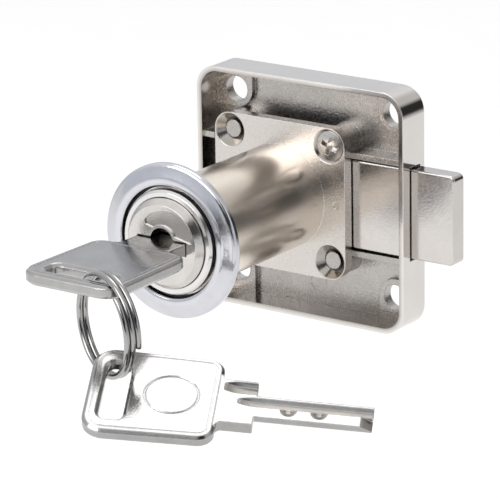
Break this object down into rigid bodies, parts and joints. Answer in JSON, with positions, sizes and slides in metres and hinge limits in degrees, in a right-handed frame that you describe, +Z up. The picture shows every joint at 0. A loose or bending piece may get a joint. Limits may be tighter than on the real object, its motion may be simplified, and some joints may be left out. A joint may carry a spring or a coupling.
{
  "type": "drawer lock",
  "caption": "Full-turn drawer lock with a tray case, long round barrel, sliding flat bolt, trim ring and two flat keys on a split ring.",
  "frame": {"origin": "centre of the four wood-screw holes, on the case's back face", "axes": "+X the way the bolt points when locked, -Y towards the key side, +Z up"},
  "size_m": [0.0653, 0.0784, 0.0418],
  "materials": {
    "case_plated": "bright nickel plate over die-cast zinc, slightly soft",
    "bolt_plated": "bright nickel plate",
    "barrel_plated": "bright nickel plate over die-cast zinc",
    "plug_plated": "bright nickel plate",
    "screw_steel": "nickel-plated steel",
    "spring_steel": "plain spring steel",
    "trim_chrome": "polished nickel plate",
    "key_nickel": "nickel-plated brass, lightly worn",
    "ring_steel": "nickel-plated spring wire",
    "pin_brass": "turned brass"
  },
  "bodies": {
    "lock_body": {"case": "case_plated", "barrel": "barrel_plated", "flange_screws": "screw_steel", "chamber_cover": "barrel_plated", "driver_pin_1": "pin_brass", "driver_pin_2": "pin_brass", "driver_pin_3": "pin_brass", "driver_spring_1": "spring_steel", "driver_spring_2": "spring_steel", "driver_spring_3": "spring_steel"},
    "plug": {"plug": "plug_plated", "retaining_clip": "spring_steel", "key_pin_1": "pin_brass", "key_pin_2": "pin_brass", "key_pin_3": "pin_brass"},
    "bolt": {"bolt": "bolt_plated"},
    "front_key": {"key_front": "key_nickel"},
    "split_ring": {"key_ring": "ring_steel"},
    "spare_key": {"key_spare": "key_nickel"},
    "trim": {"trim_ring": "trim_chrome"}
  },
  "joints": [
    {"name": "plug_turn", "type": "hinge", "parent": "lock_body", "child": "plug", "pos_m": [-0.004, 0, 0], "axis": [0, -1, 0], "range_deg": [0, 180]},
    {"name": "bolt_slide", "type": "slide", "parent": "lock_body", "child": "bolt", "axis": [1, 0, 0], "range_m": [-0.0086, 0]},
    {"name": "key_withdraw", "type": "slide", "parent": "plug", "child": "front_key", "axis": [0, -1, 0], "range_m": [0, 0.022]},
    {"name": "ring_swing", "type": "hinge", "parent": "front_key", "child": "split_ring", "pos_m": [-0.004, -0.06495, 0], "axis": [1, 0, 0], "range_deg": [-20, 5]},
    {"name": "spare_round_ring", "type": "hinge", "parent": "split_ring", "child": "spare_key", "pos_m": [0.00257, -0.06426, -0.00583], "axis": [0.4089, 0.9119, 0.036], "range_deg": [-30, 45]},
    {"name": "trim_slide", "type": "slide", "parent": "lock_body", "child": "trim", "axis": [0, 1, 0], "range_m": [0, 0.0298]}
  ],
  "couplings": [
    {"joint": "bolt_slide", "follows": "plug_turn", "m_per_rad": -0.0027375}
  ]
}
